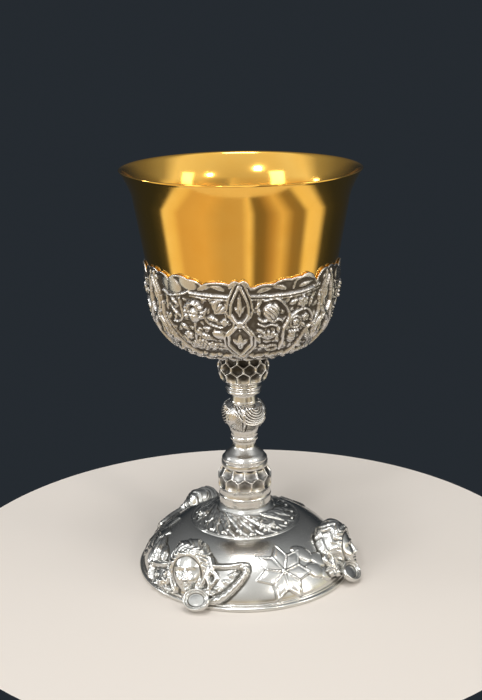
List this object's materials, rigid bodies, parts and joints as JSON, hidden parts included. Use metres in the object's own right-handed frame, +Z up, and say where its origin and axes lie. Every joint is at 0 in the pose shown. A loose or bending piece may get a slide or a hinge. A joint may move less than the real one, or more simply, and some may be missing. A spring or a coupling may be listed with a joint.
{
  "type": "chalice",
  "caption": "Silver stemmed ceremonial cup with a gilt bowl in a relief calyx, a knopped stem and a domed foot with winged heads and stars.",
  "frame": {"origin": "on the axis of the chalice, at the plane that the foot stands on", "axes": "+Z up along the axis, -Y towards the viewer, +X to the viewer's right"},
  "size_m": [0.124, 0.1244, 0.22],
  "materials": {
    "foot_silver": "polished silver, darker in the recesses",
    "stem_silver": "cast silver, oxidised in the recesses",
    "calyx_silver": "cast silver on a dark punched ground",
    "gilt": "polished gilt with fine turning marks"
  },
  "bodies": {
    "root": {"foot": "foot_silver", "lower_knot": "stem_silver", "stem": "stem_silver", "collar": "stem_silver", "calyx": "calyx_silver", "cup": "gilt"}
  },
  "joints": []
}
